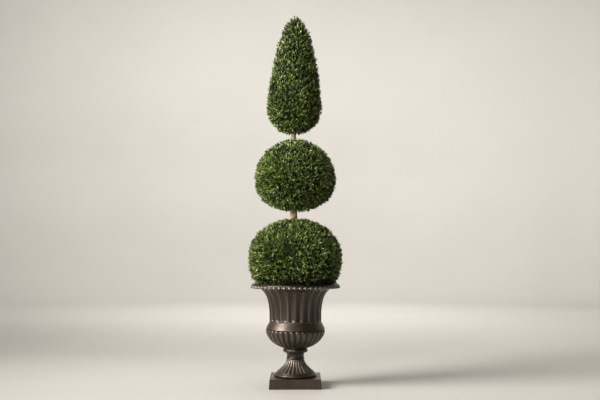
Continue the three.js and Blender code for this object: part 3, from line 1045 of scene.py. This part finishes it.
def lining(mass, rng):
    """Roots, directions and sizes of shaded sprigs over the flat underside of a mass with a floor."""
    low = mass["floor"]
    width = (mass["radius"] - INNER_DEPTH) * (low > 0)
    count = round(math.pi * (width * MM) ** 2 * LINING_PER_M2)
    reach = width * np.sqrt((np.arange(count) + 0.5) / max(count, 1))
    angle = np.arange(count) * GOLDEN_ANGLE
    out = np.column_stack([np.cos(angle), np.sin(angle), np.zeros(count)])
    roots = out * reach[:, None]
    roots[:, 2] = low + rng.uniform(2, INNER_DEPTH, count)
    aim = out.copy()
    aim[:, 2] = rng.uniform(0.1, 1.0, count)
    kept = off_the_stem(roots, 6)
    return roots[kept], unit(aim)[kept], rng.uniform(0.8, 1.1, count)[kept]


def dealt_tones(roots, rng, kind):
    """The tone of each sprig's young (1) or old (2) leaves: loose drifts, mixed with chance."""
    drift = np.array([noise.noise(Vector(root) / 45) for root in roots.tolist()])
    rank = np.argsort(np.argsort(drift + rng.normal(0, 0.8, len(roots)))) / len(roots)
    shares = np.cumsum([tone[kind + 1] for tone in TONES.values()])
    return np.minimum(np.searchsorted(shares, rank, side="right"), len(TONES) - 1)


# %% The wood inside


def curve(start, pull, end, steps):
    """Points from start to end that bend towards pull."""
    t = np.linspace(0, 1, steps + 1)[:, None]
    return (1 - t) ** 2 * start + 2 * (1 - t) * t * pull + t**2 * end


def boughs_in(mass):
    """Chains of points from the stem out and up, to the inner half of the mass."""
    low, high = ends_of(mass)
    sites, outward = sites_on(mass, mass["boughs"] / 0.35)
    depth = 0.5 * reach_at(mass, sites[:, 2])
    chains = []
    for end in sites - outward * depth[:, None]:
        beside = math.hypot(end[0], end[1])
        level = min(max(end[2] - 0.7 * beside, low + 14), high - 60, TRUNK_Z + TRUNK_H - 12)
        start = np.array([trunk_x((level - TRUNK_Z) / TRUNK_H), 0, level])
        pull = np.array([end[0] * 0.75, end[1] * 0.75, level + 0.25 * (end[2] - level)])
        chains.append(curve(start, pull, end, 6))
    return chains


def nearest(points, targets):
    """For each point, the number of the closest target."""
    gaps = np.linalg.norm(points[:, None, :] - targets[None, :, :], axis=2)
    return gaps.argmin(axis=1)


def twigs_in(mass, boughs, roots, rng):
    """Twigs from the boughs to their forks, and a finer twig from a fork to each sprig."""
    sites, outward = sites_on(mass, TWIGS_PER_M2)
    depth = np.minimum(66, 0.62 * reach_at(mass, sites[:, 2]))
    forks = sites - outward * depth[:, None] + rng.normal(0, 3, sites.shape)
    forks = forks[off_the_stem(forks, 3)]
    forks = forks[forks[:, 2] > ends_of(mass)[0] + 8]
    joints = np.vstack([chain[2:] for chain in boughs])
    coarse = []
    for fork, joint in zip(forks, joints[nearest(forks, joints)]):
        pull = (fork + joint) / 2 + rng.normal(0, 4, 3) - np.array([0, 0, 5])
        coarse.append(curve(joint, pull, fork, 3))
    fine = [np.array([fork, root]) for fork, root in zip(forks[nearest(roots, forks)], roots)]
    return coarse, fine


def skeleton(chains, thick, thin):
    """One mesh of edges along all chains, which stores how thick the wood is at each point."""
    starts = np.cumsum([0] + [len(chain) for chain in chains])
    edges = [(n, n + 1) for first, last in zip(starts, starts[1:]) for n in range(first, last - 1)]
    thickness = np.concatenate([np.linspace(thick, thin, len(chain)) for chain in chains])
    mesh = mesh_of("skeleton", np.vstack(chains), [], edges)
    give(mesh, "thickness", thickness * MM)
    return mesh


# %% Grow each mass


def spray(name, cloud, part, material, slot, node):
    """One piece: a part of a sprig on every point of a cloud."""
    roots, aim, size, roll, kind = cloud
    mesh = mesh_of("cloud", roots, [])
    give(mesh, "aim", aim, "FLOAT_VECTOR")
    give(mesh, "grown", size)
    give(mesh, "roll", roll)
    give(mesh, "kind", kind, "INT")
    settle(grown(name, mesh, SPRIG_TREE, Sprigs=SPRIGS[part], Material=material), slot, node)


def grow(label, mass):
    node = f"{label}_foliage"
    rng = np.random.default_rng(mass["seed"])
    outer = sprig_cloud(mass, rng, SPRIGS_PER_M2, PUFF)
    inner = sprig_cloud(mass, rng, INNER_PER_M2, (-INNER_DEPTH - 10, -INNER_DEPTH + 10))
    young, old = dealt_tones(outer[0], rng, 1), dealt_tones(outer[0], rng, 2)
    # painted shade: sprigs just over the rim take a tone further down the list, which is darker
    young[outer[0][:, 2] < mass["floor"] + SKIRT_SHADE] //= 2
    both = [np.concatenate(parts) for parts in zip(outer, inner, lining(mass, rng))]
    roots, shaded = both[0], len(both[0]) - len(outer[0])
    both += [rng.uniform(0, math.tau, len(roots)), rng.integers(0, SPRIG["variants"], len(roots))]
    old = np.concatenate([old, np.zeros(shaded, int)])
    for number, (shade, material) in enumerate(LEAVES.items()):
        for age, tone in (("young", young), ("old", old)):
            dealt = np.flatnonzero(tone == number)
            if len(dealt):
                cloud = [part[dealt] for part in both]
                spray(f"{label}_{age}_leaves_{shade}", cloud, age, material, "leaves", node)
    spray(f"{label}_shoots", both, "stems", TWIG, "bark", node)
    boughs = boughs_in(mass)
    coarse, fine = twigs_in(mass, boughs, roots, rng)
    for name, chains, thick, thin, sides in (
        ("boughs", boughs, 4.5, 2.2, 7),
        ("twigs", coarse, 2.0, 1.2, 5),
        ("twiglets", fine, 1.1, 0.8, 3),
    ):
        bones = skeleton(chains, thick, thin)
        settle(grown(f"{label}_{name}", bones, TUBE_TREE, Sides=sides, Material=TWIG), "bark", node)
    print(f"{label}: {len(roots)} sprigs ({shaded} shaded), {len(coarse)} twigs, {len(boughs)} boughs")


for label, mass in MASSES.items():
    grow(label, mass)

# %% [markdown]
# ## Floor, light and camera
#
# The floor is a wide pale sweep that curves up into a wall on every side, so that no view meets an edge.
# One large warm light stands to the left, as a tall window would. A slim strip in front draws a streak
# on the metal, a light overhead opens the floor and one behind the plant the backdrop, and the dim warm
# world fills the shadows. The camera is at knee height, tilted up a little, with a long lens.

# %% The sweep


def sweep():
    flat, bend, height, sides = 5.2, 1.6, 4.2, 96
    bends = np.linspace(0, math.pi / 2, 13)
    rows = [(flat + bend * math.sin(t), bend - bend * math.cos(t)) for t in bends]
    rows.append((flat + bend, height))
    turns = np.linspace(0, math.tau, sides, endpoint=False)
    points = [(0, 0, 0), *((r * math.cos(t), r * math.sin(t), z) for r, z in rows for t in turns)]
    faces = [(0, 1 + i, 1 + (i + 1) % sides) for i in range(sides)]
    for a in range(1, (len(rows) - 1) * sides, sides):
        b = a + sides
        faces += [(a + i, b + i, b + (i + 1) % sides, a + (i + 1) % sides) for i in range(sides)]
    mesh = mesh_of("floor_sweep", np.array(points) / MM, faces)
    tones = ((0.480, 0.465, 0.438), (0.495, 0.480, 0.453))
    paint = finish("pale_floor", tones, patch=1.2, grain=60.0, swell=4.0, rough=(0.55, 0.7), bump=0.1)[0]
    mesh.materials.append(paint)
    return shown("floor_sweep", mesh)


sweep()

# %% Lights


def area_light(name, place, target, size, power, colour, spread=180):
    data = bpy.data.lights.new(name, "AREA")
    data.shape = "RECTANGLE"
    data.spread = math.radians(spread)
    data.size, data.size_y = size
    data.energy = power
    data.color = colour
    light = shown(name, data)
    light.location = place
    light.rotation_euler = (Vector(target) - Vector(place)).to_track_quat("-Z", "Y").to_euler()
    light.visible_camera = False


area_light("window", (-3.3, -1.5, 2.8), (0.1, 0, 1.7), (2.2, 2.4), 134, (1.0, 0.975, 0.925), spread=85)
area_light("front_fill", (-1.7, -3.7, 1.4), (0, 0, 0.7), (0.4, 1.6), 68, (1.0, 0.98, 0.94))
area_light("ceiling", (0, 0.3, 4.0), (0, 0, 0), (2.6, 2.6), 62, (1.0, 0.975, 0.93))
area_light("backdrop_light", (-0.2, 2.9, 3.2), (0, 6.6, 1.0), (2.2, 1.0), 208, (1.0, 0.98, 0.95))

world = bpy.data.worlds.new("pale_room")
world.use_nodes = True
background = world.node_tree.nodes["Background"].inputs
background["Color"].default_value = (1.0, 0.92, 0.76, 1)
background["Strength"].default_value = 0.13
bpy.context.scene.world = world
bpy.context.scene.view_settings.view_transform = "Standard"

# %% Camera

TILT = 2.46  # degrees up from level
camera_data = bpy.data.cameras.new("camera")
camera_data.sensor_width = 36.0
camera_data.lens = 55.8
camera = shown("camera", camera_data)
camera.location = (0.019, -3.85, 0.598)
camera.rotation_euler = (math.radians(90 + TILT), 0, 0)
bpy.context.scene.camera = camera
